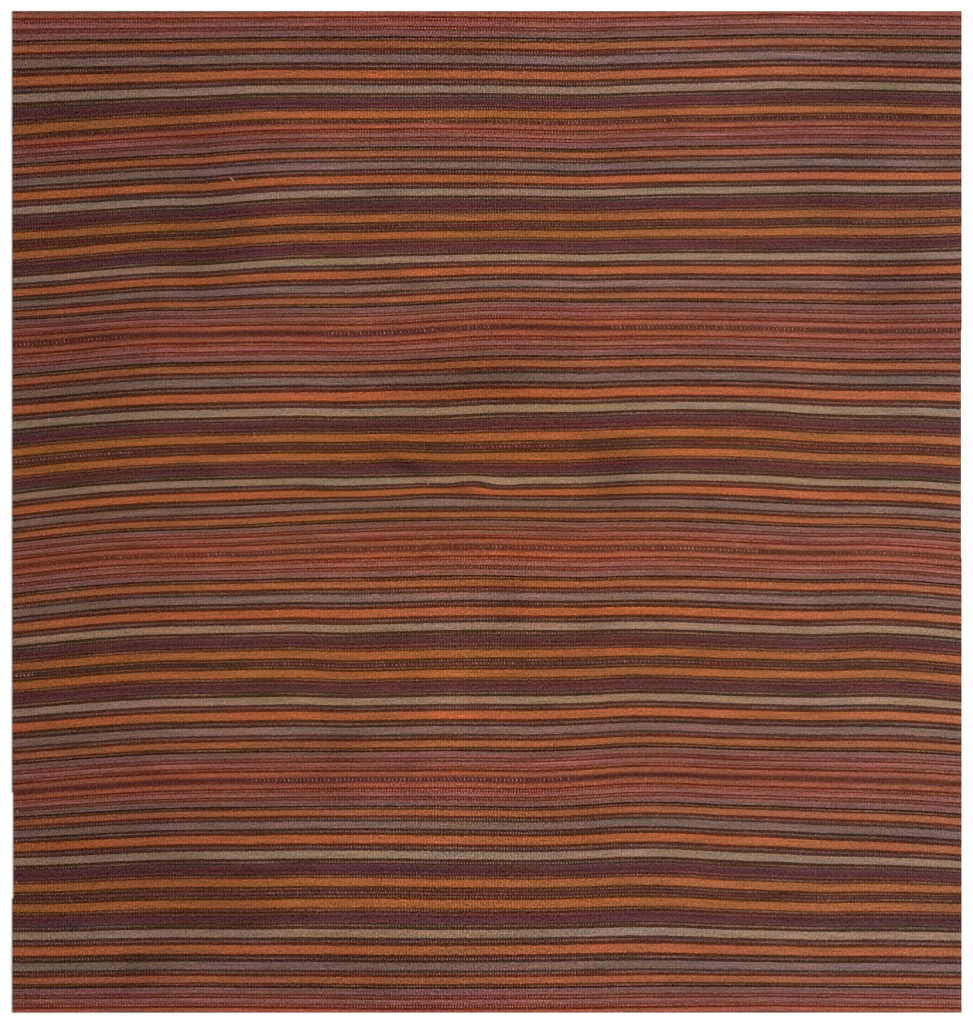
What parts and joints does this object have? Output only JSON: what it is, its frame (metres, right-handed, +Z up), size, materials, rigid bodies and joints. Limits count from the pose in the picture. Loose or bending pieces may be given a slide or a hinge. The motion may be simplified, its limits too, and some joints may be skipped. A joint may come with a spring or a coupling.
{
  "type": "striped kilim rug",
  "caption": "Flat, nearly square kilim rug of narrow striped wool strips sewn edge to edge, laid flat with soft creases and slightly wavy joins.",
  "frame": {"origin": "on the floor, under the middle of the rug", "axes": "+X along the stripes, +Y across them to the far edge, which is the top edge of the picture, +Z up"},
  "size_m": [1.78, 1.878, 0.0056],
  "materials": {
    "striped_wool": "matt hand-woven wool in stripes of brick, rose, orange, gold, beige, grey and plum between near-black lines"
  },
  "bodies": {
    "root": {"strip_1": "striped_wool", "strip_2": "striped_wool", "strip_3": "striped_wool", "strip_4": "striped_wool", "strip_5": "striped_wool", "strip_6": "striped_wool", "strip_7": "striped_wool", "strip_8": "striped_wool", "strip_9": "striped_wool"}
  },
  "joints": []
}
